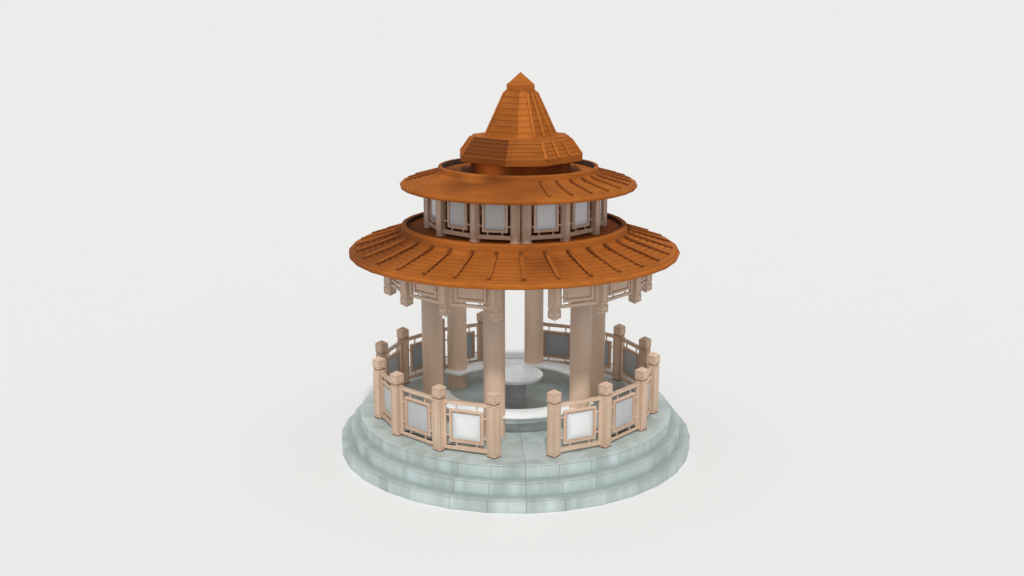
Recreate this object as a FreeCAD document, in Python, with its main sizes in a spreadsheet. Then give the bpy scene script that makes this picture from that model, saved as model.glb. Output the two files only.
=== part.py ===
import FreeCAD, Part
import Sketcher
import math
import os

# Round two-tier garden pavilion with a stepped stone base.
# Millimetres, +Z up. The origin is the middle of the underside of the base.
# The open front bay faces -Y. Ring positions are turned from the front towards +X.

doc = FreeCAD.newDocument("pavilion")
sheet = doc.addObject("Spreadsheet::Sheet", "Sizes")

SIZES = [
    # base
    ("facets", 32),
    ("tier_rise", 217),
    ("tier_low_radius", 3130),
    ("tier_mid_radius", 2955),
    ("tier_top_radius", 2785),
    # columns
    ("column_ring", 1510),
    ("column_radius", 180),
    ("column_turn", -16.65),
    # bench and table
    ("bench_inner", 1200),
    ("bench_outer", 1600),
    ("bench_top", 360),
    ("bench_thick", 42),
    ("bench_gap", 43.5),
    ("bench_gap_middle", 76.25),
    ("table_radius", 495),
    ("table_top_height", 600),
    ("table_thick", 62),
    ("table_edge", 10),
    ("pedestal_radius", 190),
    # balustrade
    ("rail_ring", 2445),
    ("bay_pitch", 22.5),
    ("post_side", 156),
    ("post_foot_side", 168),
    ("post_foot_height", 30),
    ("post_shaft_top", 874),
    ("post_neck_side", 142),
    ("post_cap_side", 165),
    ("post_cap_bottom", 912),
    ("post_cap_top", 1067),
    ("post_apex", 1122),
    ("rail_depth", 45),
    ("rail_top_low", 815),
    ("rail_top_high", 875),
    ("rail_foot_low", 45),
    ("rail_foot_high", 110),
    ("frame_width", 586),
    ("frame_low", 170),
    ("frame_high", 725),
    ("frame_member", 36),
    ("frame_depth", 40),
    ("bead_width", 19),
    ("bead_depth", 28),
    ("jamb_gap", 55),
    ("infill_depth", 18),
    ("tie_side", 22),
    ("tie_offset", 175),
    ("tie_low", 275),
    ("tie_high", 620),
    # hanging frieze
    ("frieze_ring", 2248),
    ("frieze_shift", 28),
    ("frieze_gap", 11.75),
    ("pendant_tip", 2177),
    ("pendant_cap_low", 2232),
    ("pendant_cap_high", 2355),
    ("pendant_shaft_low", 2378),
    ("pendant_side", 149),
    ("pendant_neck_side", 136),
    ("pendant_cap_side", 154),
    ("frieze_rail_low", 2372),
    ("frieze_rail_high", 2424),
    ("frieze_frame_width", 530),
    ("frieze_frame_low", 2462),
    ("frieze_frame_high", 2772),
    ("frieze_member", 46),
    ("frieze_head_low", 2798),
    ("frieze_tie_offset", 159),
    ("frieze_tie_low", 2545),
    ("frieze_tie_high", 2700),
    ("frieze_jamb_gap", 42),
    # lower roof
    ("roof_shift", -28),
    ("eave_radius", 2862),
    ("eave_low", 2846),
    ("eave_height", 92),
    ("eave_band", 72),
    ("soffit_thick", 40),
    ("roof_inset", 46),
    ("roof_end", 1960),
    ("roof_end_z", 3189),
    ("roof_courses", 8),
    ("course_nose", 11),
    ("roof_shell", 60),
    ("collar_inner", 1862),
    ("collar_top", 3350),
    ("deck_top", 3280),
    ("deck_thick", 40),
    ("rib_width", 60),
    ("rib_foot_inset", 81),
    ("rib_foot_rise", 27),
    ("rib_head_rise", 48),
    ("rib_pitch", 11.25),
    # upper storey
    ("storey_ring", 1505),
    ("storey_gap", 3.4),
    ("storey_front_bay", 25.7),
    ("storey_side", 116),
    ("storey_foot_side", 122),
    ("storey_foot_height", 26),
    ("storey_rail_low", 3335),
    ("storey_rail_high", 3402),
    ("storey_frame_width", 425),
    ("storey_frame_low", 3450),
    ("storey_member", 42),
    ("storey_tie_offset", 122),
    ("storey_tie_level", 3549),
    # upper roof
    ("top_shift", 48),
    ("top_eave_radius", 2033),
    ("top_eave_low", 3990),
    ("top_eave_height", 84),
    ("top_eave_band", 62),
    ("top_inset", 41),
    ("top_end", 1375),
    ("top_end_z", 4226),
    ("top_nose", 7),
    ("top_collar_inner", 1315),
    ("top_collar_top", 4350),
    ("top_deck_top", 4255),
    ("top_rib_width", 46),
    ("top_rib_foot_inset", 62),
    ("top_rib_foot_rise", 21),
    ("top_rib_head_rise", 35),
    # spire
    ("spire_shift", 82),
    ("neck_radius", 856),
    ("spire_low", 4450),
    ("spire_eave_high", 4560),
    ("spire_long", 955),
    ("spire_short", 1024),
    ("spire_top_long", 752),
    ("spire_top_short", 806),
    ("spire_high", 4858),
    ("spire_courses", 5),
    ("spire_lap", 9),
    ("peak_long", 536),
    ("peak_short", 606),
    ("peak_top_long", 229),
    ("peak_top_short", 259),
    ("peak_high", 5610),
    ("peak_courses", 8),
    ("peak_lap", 6),
    ("spire_rib_width", 44),
    ("spire_rib_rise", 24),
    ("cap_half", 168),
    ("cap_low", 5610),
    ("cap_high", 5705),
    ("cap_apex", 5912),
]


class Dim:
    """A size: its number, and the sheet expression that gives the number."""

    def __init__(self, value, text):
        self.value = float(value)
        self.text = text

    def __add__(self, other):
        other = dim(other)
        return Dim(self.value + other.value, "(%s + %s)" % (self.text, other.text))

    def __sub__(self, other):
        other = dim(other)
        return Dim(self.value - other.value, "(%s - %s)" % (self.text, other.text))

    def __mul__(self, other):
        other = dim(other)
        return Dim(self.value * other.value, "(%s * %s)" % (self.text, other.text))

    def __truediv__(self, other):
        other = dim(other)
        return Dim(self.value / other.value, "(%s / %s)" % (self.text, other.text))


def dim(item):
    if isinstance(item, Dim):
        return item
    return Dim(item, "(%s)" % repr(float(item)))


NUMBERS = {}
for row, (alias, value) in enumerate(SIZES, start=1):
    sheet.set("A%d" % row, alias.replace("_", " "))
    sheet.set("B%d" % row, str(value))
    sheet.setAlias("B%d" % row, alias)
    NUMBERS[alias] = value
doc.recompute()


def size(alias):
    return Dim(NUMBERS[alias], "Sizes.%s" % alias)


def sine(angle):
    angle = dim(angle)
    return Dim(math.sin(math.radians(angle.value)), "sin(%s * 1 deg)" % angle.text)


def cosine(angle):
    angle = dim(angle)
    return Dim(math.cos(math.radians(angle.value)), "cos(%s * 1 deg)" % angle.text)


def bind(item, prop, length):
    item.setExpression(prop, dim(length).text)


FLOOR = size("tier_rise") * 3


def level(alias):
    """Height above the ground of a height that the sheet gives above the floor."""
    return FLOOR + size(alias)


# Basic solids

def box(name, length, width, height, x, y, z):
    item = doc.addObject("Part::Box", name)
    bind(item, "Length", length)
    bind(item, "Width", width)
    bind(item, "Height", height)
    bind(item, "Placement.Base.x", x)
    bind(item, "Placement.Base.y", y)
    bind(item, "Placement.Base.z", z)
    return item


def block(name, length, width, z_low, z_high, x=0, y=0):
    """Box centred on x and y."""
    length, width = dim(length), dim(width)
    return box(name, length, width, dim(z_high) - z_low,
               dim(x) - length / 2, dim(y) - width / 2, z_low)


def wedge_of_ring(name, radius, z_low, z_high, middle, span):
    """Sector about the Z axis; middle is turned from the front towards +X."""
    item = doc.addObject("Part::Cylinder", name)
    bind(item, "Radius", radius)
    bind(item, "Height", dim(z_high) - z_low)
    bind(item, "Angle", span)
    first = dim(middle) - dim(span) / 2 - 90
    item.Placement = FreeCAD.Placement(FreeCAD.Vector(0, 0, 0),
                                       FreeCAD.Rotation(FreeCAD.Vector(0, 0, 1), first.value))
    bind(item, "Placement.Rotation.Angle", first)
    bind(item, "Placement.Base.z", z_low)
    return item


def square_taper(name, half_low, half_high, z_low, z_high, turn=0.0, x=0):
    """Square frustum with its axis along Z, turned about it."""
    item = doc.addObject("Part::Wedge", name)
    half_low, half_high = dim(half_low), dim(half_high)
    minus = dim(-1)
    for prop, value in (("Xmin", half_low * minus), ("Xmax", half_low),
                        ("Zmin", half_low * minus), ("Zmax", half_low),
                        ("X2min", half_high * minus), ("X2max", half_high),
                        ("Z2min", half_high * minus), ("Z2max", half_high),
                        ("Ymin", dim(0)), ("Ymax", dim(z_high) - z_low)):
        setattr(item, prop, value.value)
        item.setExpression(prop, value.text)
    upright = FreeCAD.Rotation(FreeCAD.Vector(1, 0, 0), 90)
    spin = FreeCAD.Rotation(FreeCAD.Vector(0, 0, 1), turn)
    item.Placement = FreeCAD.Placement(FreeCAD.Vector(0, 0, 0), spin.multiply(upright))
    bind(item, "Placement.Base.x", x)
    bind(item, "Placement.Base.z", z_low)
    return item


def fuse(name, parts):
    item = doc.addObject("Part::MultiFuse", name)
    item.Shapes = parts
    item.Refine = True
    return item


def cut(name, base, tool):
    item = doc.addObject("Part::Cut", name)
    item.Base = base
    item.Tool = tool
    return item


def common(name, parts):
    item = doc.addObject("Part::MultiCommon", name)
    item.Shapes = parts
    return item


def group(name, parts):
    item = doc.addObject("Part::Compound", name)
    item.Links = parts
    return item


# Sketched solids

def outline(sketch, points):
    """Closed outline with every corner tied to the sheet by its two distances."""
    spots = [FreeCAD.Vector(x.value, y.value, 0) for x, y in points]
    count = len(spots)
    for i in range(count):
        sketch.addGeometry(Part.LineSegment(spots[i], spots[(i + 1) % count]), False)
    for i in range(count):
        sketch.addConstraint(Sketcher.Constraint("Coincident", i, 2, (i + 1) % count, 1))
    for i, (x, y) in enumerate(points):
        for kind, value in (("DistanceX", x), ("DistanceY", y)):
            if abs(value.value) < 1e-9:
                axis = -2 if kind == "DistanceX" else -1
                sketch.addConstraint(Sketcher.Constraint("PointOnObject", i, 1, axis))
                continue
            index = sketch.addConstraint(Sketcher.Constraint(kind, i, 1, value.value))
            sketch.setExpression("Constraints[%d]" % index, value.text)


def plate(name, points, width):
    """Upright plate in the XZ plane, its thickness shared to both sides of Y."""
    sketch = doc.addObject("Sketcher::SketchObject", name + "_outline")
    sketch.Placement = FreeCAD.Placement(FreeCAD.Vector(0, 0, 0),
                                         FreeCAD.Rotation(FreeCAD.Vector(1, 0, 0), 90))
    outline(sketch, [(dim(a), dim(b)) for a, b in points])
    item = doc.addObject("Part::Extrusion", name)
    item.Base = sketch
    item.DirMode = "Normal"
    item.Solid = True
    item.Symmetric = True
    bind(item, "LengthFwd", width)
    return item


# Solids with the flat sides of the base, for the round pieces of stone and roof

def drum(name, radius, z_low, z_high, x=0, y=0):
    item = doc.addObject("Part::Prism", name)
    bind(item, "Polygon", size("facets"))
    bind(item, "Circumradius", radius)
    bind(item, "Height", dim(z_high) - z_low)
    bind(item, "Placement.Base.x", x)
    bind(item, "Placement.Base.y", y)
    bind(item, "Placement.Base.z", z_low)
    return item


def stack(name, points, x=0):
    """Solid through many-sided outlines, given as (radius, height) from the bottom up."""
    sections = []
    for i, (radius, height) in enumerate(points):
        item = doc.addObject("Part::RegularPolygon", "%s_outline_%d" % (name, i))
        bind(item, "Polygon", size("facets"))
        bind(item, "Circumradius", radius)
        bind(item, "Placement.Base.x", x)
        bind(item, "Placement.Base.z", height)
        sections.append(item)
    item = doc.addObject("Part::Loft", name)
    item.Sections = sections
    item.Solid = True
    item.Ruled = True
    item.Linearize = True
    return item


# Placed copies

def copy_at(name, master, x, y, turn=0.0):
    item = doc.addObject("App::Link", name)
    item.LinkedObject = master
    item.Placement = FreeCAD.Placement(FreeCAD.Vector(dim(x).value, dim(y).value, 0),
                                       FreeCAD.Rotation(FreeCAD.Vector(0, 0, 1), turn))
    bind(item, "Placement.Base.x", x)
    bind(item, "Placement.Base.y", y)
    return item


def on_ring(name, master, radius, angle, turn, shift=0):
    angle = dim(angle)
    x = dim(radius) * sine(angle) + shift
    y = dim(radius) * cosine(angle) * dim(-1)
    return copy_at(name, master, x, y, turn)


NODES = []


def node(item, label):
    item.Label = label
    NODES.append(item)
    return item


# Base: three low tiers with straight facets

def tier(label, radius_alias, index):
    low = size("tier_rise") * index
    return node(drum(label, size(radius_alias), low, low + size("tier_rise")), label)


tier("plinth_lower_tier", "tier_low_radius", 0)
tier("plinth_middle_tier", "tier_mid_radius", 1)
tier("plinth_top_tier", "tier_top_radius", 2)

# Six round columns from the floor to the soffit of the lower roof

columns = []
for k in range(6):
    angle = size("column_turn") + dim(60) * k
    x = size("column_ring") * sine(angle)
    y = size("column_ring") * cosine(angle) * -1
    shaft = drum("column_%d" % (k + 1), size("column_radius"), FLOOR, level("eave_low"), x, y)
    columns.append(node(shaft, "column_%d" % (k + 1)))

# Bench in two arcs that the columns carry, and the round table. The gaps between
# the arcs lie opposite each other.

bench_low = level("bench_top") - size("bench_thick")
bench_ring = cut("bench_ring",
                 drum("bench_disc", size("bench_outer"), bench_low, level("bench_top")),
                 drum("bench_hole", size("bench_inner"), bench_low, level("bench_top")))
bench_reach = size("bench_outer") + 50
bench_gaps = [
    wedge_of_ring("bench_gap_right", bench_reach, bench_low, level("bench_top"),
                  size("bench_gap_middle"), size("bench_gap")),
    wedge_of_ring("bench_gap_left", bench_reach, bench_low, level("bench_top"),
                  size("bench_gap_middle") + 180, size("bench_gap")),
]
node(cut("bench_slab", bench_ring, group("bench_tools", columns + bench_gaps)), "bench_slab")

edge = size("table_edge")
table_low = level("table_top_height") - size("table_thick")
node(stack("table_top", [
    (size("table_radius") - edge, table_low),
    (size("table_radius"), table_low + edge),
    (size("table_radius"), level("table_top_height") - edge),
    (size("table_radius") - edge, level("table_top_height")),
]), "table_top")
node(drum("table_pedestal", size("pedestal_radius"), FLOOR, table_low), "table_pedestal")


# Square posts with a narrow neck and a low pointed cap

post = fuse("balustrade_post", [
    block("post_foot", size("post_foot_side"), size("post_foot_side"),
          FLOOR, FLOOR + size("post_foot_height")),
    block("post_shaft", size("post_side"), size("post_side"), FLOOR, level("post_shaft_top")),
    block("post_neck", size("post_neck_side"), size("post_neck_side"),
          level("post_shaft_top"), level("post_cap_bottom")),
    block("post_cap", size("post_cap_side"), size("post_cap_side"),
          level("post_cap_bottom"), level("post_cap_top")),
    square_taper("post_point", size("post_cap_side") / 2, 1,
                 level("post_cap_top"), level("post_apex")),
])

pendant = fuse("frieze_post", [
    square_taper("pendant_point", 1, size("pendant_cap_side") / 2,
                 level("pendant_tip"), level("pendant_cap_low")),
    block("pendant_cap", size("pendant_cap_side"), size("pendant_cap_side"),
          level("pendant_cap_low"), level("pendant_cap_high")),
    block("pendant_neck", size("pendant_neck_side"), size("pendant_neck_side"),
          level("pendant_cap_high"), level("pendant_shaft_low")),
    block("pendant_shaft", size("pendant_side"), size("pendant_side"),
          level("pendant_shaft_low"), level("eave_low")),
])

storey_post = fuse("storey_post", [
    block("storey_foot", size("storey_foot_side"), size("storey_foot_side"),
          level("deck_top"), level("deck_top") + size("storey_foot_height")),
    block("storey_shaft", size("storey_side"), size("storey_side"),
          level("deck_top"), level("top_eave_low")),
])


# Open frames: rails, a square frame held between them by short ties, and jambs

def square_frame(name, width, low, high, member, depth):
    """Four members round an opening; gives the parts and the opening's size."""
    width, member, low, high = dim(width), dim(member), dim(low), dim(high)
    stile_x = width / 2 - member / 2
    parts = [
        block(name + "_stile_l", member, depth, low, high, stile_x * -1),
        block(name + "_stile_r", member, depth, low, high, stile_x),
        block(name + "_sill", width, depth, low, low + member),
        block(name + "_head", width, depth, high - member, high),
    ]
    return parts, width - member * 2, low + member, high - member


def bay_master(name, chord, rail_depth, rails, width, low, high, member, depth,
               tie_offset, tie_levels, bead=None, jamb_gap=None):
    """One bay and its infill. rails is a list of (low, high) from the foot up."""
    chord, width, low, high = dim(chord), dim(width), dim(low), dim(high)
    tie = size("tie_side")
    parts, inner, inner_low, inner_high = square_frame(name, width, low, high, member, depth)
    if bead is not None:
        more, inner, inner_low, inner_high = square_frame(name + "_bead", inner, inner_low,
                                                          inner_high, bead[0], bead[1])
        parts += more
    for i, (rail_low, rail_high) in enumerate(rails):
        parts.append(block("%s_rail_%d" % (name, i), chord, rail_depth, rail_low, rail_high))
    foot_top = dim(rails[0][1])
    head_low = dim(rails[1][0]) if len(rails) > 1 else high
    post_inside = chord / 2 - 60
    reach = post_inside if jamb_gap is None else width / 2 + jamb_gap
    for side in (-1, 1):
        tag = "l" if side < 0 else "r"
        x = dim(tie_offset) * side
        parts.append(block("%s_tie_foot_%s" % (name, tag), tie, tie, foot_top, low, x))
        if len(rails) > 1:
            parts.append(block("%s_tie_head_%s" % (name, tag), tie, tie, high, head_low, x))
        middle = (width / 2 + reach) / 2 * side
        for j, tie_level in enumerate(tie_levels):
            parts.append(block("%s_tie_%s_%d" % (name, tag, j), reach - width / 2, tie,
                               dim(tie_level) - tie / 2, dim(tie_level) + tie / 2, middle))
        if jamb_gap is not None:
            parts.append(block("%s_jamb_%s" % (name, tag), post_inside - reach, depth,
                               foot_top, head_low, (post_inside + reach) / 2 * side))
    infill = group(name + "_infill", [
        block(name + "_pane", inner, size("infill_depth"), inner_low, inner_high),
    ])
    return fuse(name, parts), infill


half_bay = size("bay_pitch") / 2
bay = bay_master("bay_frame", size("rail_ring") * sine(half_bay) * 2, size("rail_depth"),
                 [(level("rail_foot_low"), level("rail_foot_high")),
                  (level("rail_top_low"), level("rail_top_high"))],
                 size("frame_width"), level("frame_low"), level("frame_high"),
                 size("frame_member"), size("frame_depth"), size("tie_offset"),
                 [level("tie_low"), level("tie_high")],
                 (size("bead_width"), size("bead_depth")), size("jamb_gap"))

frieze_pitch = (dim(180) - size("frieze_gap") * 2) / 7
frieze_bay = bay_master("frieze_frame", size("frieze_ring") * sine(frieze_pitch / 2) * 2,
                        size("frame_depth"),
                        [(level("frieze_rail_low"), level("frieze_rail_high")),
                         (level("frieze_head_low"), level("eave_low"))],
                        size("frieze_frame_width"), level("frieze_frame_low"),
                        level("frieze_frame_high"), size("frieze_member"),
                        size("frame_depth"), size("frieze_tie_offset"),
                        [level("frieze_tie_low"), level("frieze_tie_high")],
                        None, size("frieze_jamb_gap"))

# The bays next to the front pair of storey posts are narrower than the others
storey_bays = []
storey_pitch = (dim(180) - size("storey_gap") * 2 - size("storey_front_bay")) / 5
for name, pitch in (("storey_front_frame", size("storey_front_bay")),
                    ("storey_frame", storey_pitch)):
    storey_bays.append(bay_master(name, size("storey_ring") * sine(pitch / 2) * 2,
                                  size("frame_depth"),
                                  [(level("storey_rail_low"), level("storey_rail_high"))],
                                  size("storey_frame_width"), level("storey_frame_low"),
                                  level("top_eave_low"), size("storey_member"),
                                  size("frame_depth"), size("storey_tie_offset"),
                                  [level("storey_tie_level")]))


# Rings of posts and bays. Every post stands with a corner towards the front.

CORNER = 45.0

# How far each post of a long half ring stands from its even place, in degrees
# towards the rear, from the front post on
POST_SWAY = [0.0, -0.5, 0.6, -0.8, -0.8, -1.2, -0.8, -1.2]


def half_ring(prefix, side, first, bays, post_master, radius, shift, sway=None):
    """Posts, frames and infills on one side; side is -1 for left and 1 for right.

    bays gives (pitch, (frame, infill)) from the front to the rear. A frame stands
    halfway between its two posts.
    """
    tag = "left" if side < 0 else "right"
    stands = []
    frames = []
    panes = []
    angle = dim(first)
    sway = sway or [0.0] * (len(bays) + 1)
    for k in range(len(bays) + 1):
        place = angle + sway[k]
        stands.append(on_ring("%s_post_%s_%d" % (prefix, tag, k), post_master,
                              radius, place * side, CORNER, shift))
        if k == len(bays):
            break
        pitch, (frame, infill) = bays[k]
        middle = (angle + pitch / 2 + (sway[k] + sway[k + 1]) / 2) * side
        flat = dim(radius) * cosine(pitch / 2)
        name = "%s_%s_%d" % (prefix, tag, k)
        frames.append(on_ring(name + "_frame", frame, flat, middle, middle.value, shift))
        panes.append(on_ring(name + "_infill", infill, flat, middle, middle.value, shift))
        angle = angle + pitch
    stand_set = group("%s_posts_%s" % (prefix, tag), stands)
    frame_set = cut("%s_frames_%s" % (prefix, tag),
                    group("%s_open_%s" % (prefix, tag), frames), stand_set)
    return stand_set, frame_set, panes


panes = []
for side, tag in ((-1, "left"), (1, "right")):
    stands, frames, more = half_ring("balustrade", side, half_bay,
                                     [(size("bay_pitch"), bay)] * 7, post,
                                     size("rail_ring"), 0, POST_SWAY)
    node(stands, "balustrade_posts_" + tag)
    node(frames, "balustrade_frames_" + tag)
    panes += more
node(group("balustrade_infills", panes), "balustrade_infills")

panes = []
for side, tag in ((-1, "left"), (1, "right")):
    stands, frames, more = half_ring("frieze", side, size("frieze_gap"),
                                     [(frieze_pitch, frieze_bay)] * 7, pendant,
                                     size("frieze_ring"), size("frieze_shift"),
                                     POST_SWAY)
    node(stands, "frieze_posts_" + tag)
    node(frames, "frieze_frames_" + tag)
    panes += more
node(group("frieze_infills", panes), "frieze_infills")

panes = []
all_stands = []
all_frames = []
for side in (-1, 1):
    stands, frames, more = half_ring("storey", side, size("storey_gap"),
                                     [(size("storey_front_bay"), storey_bays[0])]
                                     + [(storey_pitch, storey_bays[1])] * 5,
                                     storey_post, size("storey_ring"), 0)
    all_stands.append(stands)
    all_frames.append(frames)
    panes += more
node(group("storey_posts", all_stands), "storey_posts")
node(group("storey_frames", all_frames), "storey_frames")
node(group("storey_infills", panes), "storey_infills")


# Round roofs: soffit, rounded eave, stepped courses, collar, sunk deck and ribs

def eave_ring(label, radius, low, height, band, shift):
    radius, low, height, band = dim(radius), dim(low), dim(height), dim(band)
    whole = stack(label + "_round", [
        (radius - height * 0.24, low),
        (radius, low + height * 0.28),
        (radius, low + height * 0.66),
        (radius - height * 0.16, low + height * 0.92),
        (radius - height * 0.45, low + height),
    ], shift)
    hole = drum(label + "_hole", radius - band, low, low + height, shift)
    return node(cut(label, whole, hole), label)


def course_shell(label, start, start_z, end, end_z, count, nose, shift):
    """Stepped roof shell: every course begins with a short upright nose.

    One facet is drawn as a plate, trimmed to its sector, and set round the axis.
    """
    flat = cosine(dim(180) / size("facets"))
    start, end = dim(start) * flat, dim(end) * flat
    start_z, end_z = dim(start_z), dim(end_z)
    run = (start - end) / count
    rise = (end_z - start_z) / count
    shell = size("roof_shell")
    points = []
    for k in range(NUMBERS["roof_courses"]):
        radius = start - run * k
        height = start_z + rise * k
        points.append((radius, height))
        points.append((radius, height + nose))
    points.append((end, end_z))
    points.append((end, end_z - shell))
    points.append((start - shell * 1.5, start_z))
    facet = common(label + "_facet", [
        plate(label + "_plate", points, start),
        wedge_of_ring(label + "_sector", start * 2, start_z - shell, end_z + shell, 90,
                      dim(360) / size("facets")),
    ])
    facets = []
    for k in range(NUMBERS["facets"]):
        angle = (dim(k) + 0.5) * (dim(360) / size("facets"))
        facets.append(on_ring("%s_facet_%d" % (label, k), facet, 0, angle,
                              angle.value - 90.0, shift))
    return node(fuse(label, facets), label)


def collar_ring(label, outer, inner, low, high, shift):
    outer, inner, low, high = dim(outer), dim(inner), dim(low), dim(high)
    ease = (outer - inner) * 0.2
    whole = stack(label + "_round", [
        (outer, low),
        (outer, high - ease * 2),
        (outer - ease * 0.3, high - ease * 0.6),
        (outer - ease, high),
    ], shift)
    return node(cut(label, whole, drum(label + "_hole", inner, low, high, shift)), label)


def rib_plate(name, foot, foot_z, foot_rise, head, head_z, head_rise, width):
    """Rib with a straight underside that lies on the noses of the courses."""
    foot, foot_z, head, head_z = dim(foot), dim(foot_z), dim(head), dim(head_z)
    return plate(name, [
        (head, head_z),
        (foot, foot_z),
        (foot, foot_z + foot_rise),
        (head, head_z + head_rise),
    ], width)


def round_roof(prefix, shift, eave, low, height, band, start, end, end_z, nose,
               collar_inner, collar_top, deck_top, rib_set):
    """rib_set is (foot, foot rise, head rise, width, first, last)."""
    shift = size(shift)
    eave, low, height, band = size(eave), level(low), size(height), size(band)
    start, end, end_z, nose = eave - size(start), size(end), level(end_z), size(nose)
    start_z = low + height
    soffit_top = low + size("soffit_thick")
    node(drum(prefix + "_soffit", eave - band, low, soffit_top, shift), prefix + "_soffit")
    eave_ring(prefix + "_eave", eave, low, height, band, shift)
    course_shell(prefix + "_skirt", start, start_z, end, end_z,
                 size("roof_courses"), nose, shift)
    collar_ring(prefix + "_collar", end, size(collar_inner), soffit_top,
                level(collar_top), shift)
    node(drum(prefix + "_deck", size(collar_inner), level(deck_top) - size("deck_thick"),
              level(deck_top), shift), prefix + "_deck")
    foot, foot_rise, head_rise, width, first, last = rib_set
    foot = start - size(foot)
    nose_line = (end_z - start_z) / (start - end)
    rib = rib_plate(prefix + "_rib", foot, start_z + nose + nose_line * (start - foot),
                    size(foot_rise), end, end_z + nose, size(head_rise), size(width))
    ribs = []
    for k in range(first, last + 1):
        angle = size("rib_pitch") * k
        ribs.append(on_ring("%s_rib_%d" % (prefix, k), rib, 0, angle, angle.value - 90.0, shift))
    node(group(prefix + "_ribs", ribs), prefix + "_ribs")


round_roof("lower_roof", "roof_shift", "eave_radius", "eave_low", "eave_height", "eave_band",
           "roof_inset", "roof_end", "roof_end_z", "course_nose",
           "collar_inner", "collar_top", "deck_top",
           ("rib_foot_inset", "rib_foot_rise", "rib_head_rise", "rib_width", 0, 31))

# The upper roof keeps its ribs on the right and at the back only
round_roof("upper_roof", "top_shift", "top_eave_radius", "top_eave_low", "top_eave_height",
           "top_eave_band", "top_inset", "top_end", "top_end_z", "top_nose",
           "top_collar_inner", "top_collar_top", "top_deck_top",
           ("top_rib_foot_inset", "top_rib_foot_rise", "top_rib_head_rise", "top_rib_width",
            1, 24))

# Spire: round neck, eight-sided tier, eight-sided peak and a square pointed cap

TIER_TURN = 1.5
PEAK_TURN = 6.0
CAP_TURN = -3.0
spire_shift = size("spire_shift")

node(drum("spire_neck", size("neck_radius"), level("top_deck_top"), level("spire_low"),
          spire_shift), "spire_neck")


def eight_sided(name, long_low, long_high, short_low, short_high, low, high,
                count, lap, turn):
    """Courses of a tapering solid with long and short sides in turn."""
    long_low, long_high = dim(long_low), dim(long_high)
    short_low, short_high = dim(short_low), dim(short_high)
    low, high = dim(low), dim(high)
    rise = (high - low) / count
    sets = []
    for tag, start, end, spin in (("long", long_low, long_high, turn + 45.0),
                                  ("short", short_low, short_high, turn)):
        step = (start - end) / count
        courses = []
        for k in range(count):
            courses.append(square_taper("%s_%s_%d" % (name, tag, k), start - step * k,
                                        start - step * (k + 1) - lap,
                                        low + rise * k, low + rise * (k + 1),
                                        spin, spire_shift))
        sets.append(courses[0] if count == 1 else fuse("%s_%s" % (name, tag), courses))
    return common(name, sets)


def eight_ribs(name, long_low, long_high, short_low, short_high, low, high,
               turn, first, pitch, count, rise, width, foot_inset, head_inset):
    """Ribs up the faces, each in its own radial plane, on the noses of the courses."""
    body = eight_sided(name + "_nose_plane", long_low, long_high, short_low, short_high,
                       low, high, 1, 0, turn)
    ribs = []
    for k in range(count):
        angle = first + pitch * k
        to_short = (angle - turn + 45.0) % 90.0 - 45.0
        to_long = (angle - turn) % 90.0 - 45.0
        short_reach = dim(short_low) / cosine(to_short)
        long_reach = dim(long_low) / cosine(to_long)
        if short_reach.value < long_reach.value:
            foot = short_reach
            head = dim(short_high) / cosine(to_short)
        else:
            foot = long_reach
            head = dim(long_high) / cosine(to_long)
        span = dim(high) - low
        lean = (foot - head) / span
        foot_z = dim(low) + foot_inset
        head_z = dim(high) - head_inset
        foot_r = foot - lean * foot_inset
        head_r = head + lean * head_inset
        rib = plate("%s_%d_plate" % (name, k), [
            (head_r - 60, head_z),
            (foot_r - 60, foot_z),
            (foot_r + rise, foot_z),
            (head_r + rise, head_z),
        ], width)
        ribs.append(on_ring("%s_%d" % (name, k), rib, 0, angle, angle - 90.0, spire_shift))
    return cut(name, group(name + "_set", ribs), body)


node(eight_sided("spire_eave", size("spire_long"), size("spire_long"), size("spire_short"),
                 size("spire_short"), level("spire_low"), level("spire_eave_high"),
                 1, 0, TIER_TURN), "spire_eave")
node(eight_sided("spire_tier", size("spire_long") - 6, size("spire_top_long"),
                 size("spire_short") - 6, size("spire_top_short"),
                 level("spire_eave_high"), level("spire_high"),
                 NUMBERS["spire_courses"], size("spire_lap"), TIER_TURN), "spire_tier")
node(eight_ribs("spire_tier_ribs", size("spire_long") - 6, size("spire_top_long"),
                size("spire_short") - 6, size("spire_top_short"),
                level("spire_eave_high"), level("spire_high"), TIER_TURN, 19.5, 18.0, 15,
                size("spire_rib_rise"), size("spire_rib_width"), 8, 40), "spire_tier_ribs")
node(eight_sided("spire_peak", size("peak_long"), size("peak_top_long"),
                 size("peak_short"), size("peak_top_short"),
                 level("spire_high"), level("peak_high"),
                 NUMBERS["peak_courses"], size("peak_lap"), PEAK_TURN), "spire_peak")
node(eight_ribs("spire_peak_ribs", size("peak_long"), size("peak_top_long"),
                size("peak_short"), size("peak_top_short"),
                level("spire_high"), level("peak_high"), PEAK_TURN, 18.0, 24.0, 12,
                size("spire_rib_rise"), size("spire_rib_width"), 6, 30), "spire_peak_ribs")
node(fuse("spire_cap", [
    square_taper("cap_block", size("cap_half"), size("cap_half"), level("cap_low"),
                 level("cap_high"), CAP_TURN + 45.0, spire_shift),
    square_taper("cap_point", size("cap_half"), 1, level("cap_high"), level("cap_apex"),
                 CAP_TURN + 45.0, spire_shift),
]), "spire_cap")

# Build, check and write one file for each node

doc.recompute()
for item in doc.Objects:
    if "Invalid" in item.State or "Error" in item.State:
        raise RuntimeError("object in error: %s %s" % (item.Name, item.State))

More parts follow.
